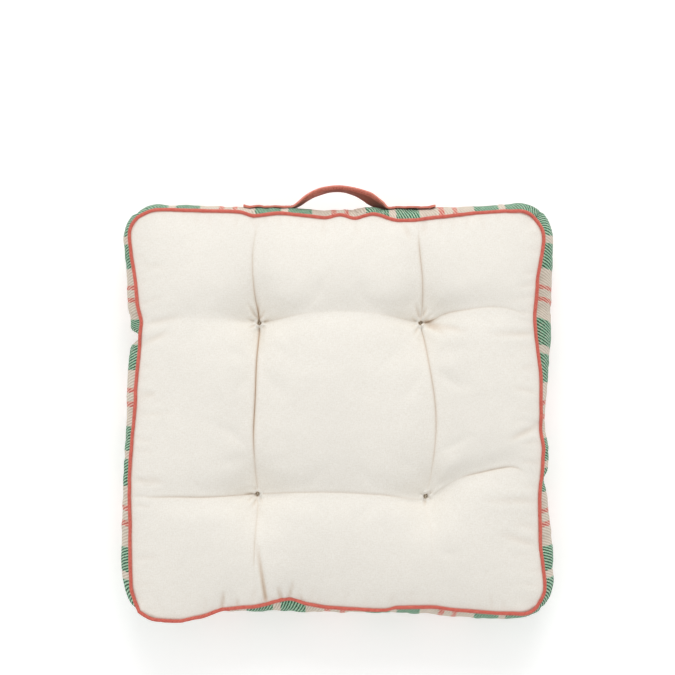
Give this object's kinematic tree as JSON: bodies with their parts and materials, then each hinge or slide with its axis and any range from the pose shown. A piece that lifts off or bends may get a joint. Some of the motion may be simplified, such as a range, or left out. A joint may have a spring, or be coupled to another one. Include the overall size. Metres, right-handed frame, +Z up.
{
  "type": "floor cushion",
  "caption": "Square boxed floor cushion with tufted canvas panels, piped seams, striped side bands and a strap carrying handle.",
  "frame": {"origin": "centre of the flat underside, on the surface the cushion lies on", "axes": "+Z up through the thickness, +X to the right, +Y towards the side that carries the handle"},
  "size_m": [0.5978, 0.607, 0.128],
  "materials": {
    "canvas": "matt cotton canvas, natural cream",
    "striped_twill": "matt twill, green blocks and fine coral stripes on beige",
    "piping_cloth": "matt coral cotton cut on the bias",
    "piping_cord": "soft twisted cotton",
    "fibre_filling": "lofty fibre",
    "twine": "waxed twine",
    "strap_cloth": "matt coral cotton, folded and stitched",
    "sewing_thread": "spun thread"
  },
  "bodies": {
    "cushion": {"top_panel": "canvas", "bottom_panel": "canvas", "gusset_front": "striped_twill", "gusset_back": "striped_twill", "gusset_left": "striped_twill", "gusset_right": "striped_twill", "top_piping_cover": "piping_cloth", "top_piping_cord": "piping_cord", "bottom_piping_cover": "piping_cloth", "bottom_piping_cord": "piping_cord", "filling": "fibre_filling", "tuft_twine_front_left": "twine", "tuft_twine_front_right": "twine", "tuft_twine_back_left": "twine", "tuft_twine_back_right": "twine", "handle_end_left": "strap_cloth", "handle_end_right": "strap_cloth", "handle_stitching_left": "sewing_thread", "handle_stitching_right": "sewing_thread"},
    "handle": {"handle_grip": "strap_cloth"}
  },
  "joints": [
    {"name": "handle_swing", "type": "hinge", "parent": "cushion", "child": "handle", "pos_m": [0, 0.2916, 0.06], "axis": [1, 0, 0], "range_deg": [-60, 60]}
  ]
}
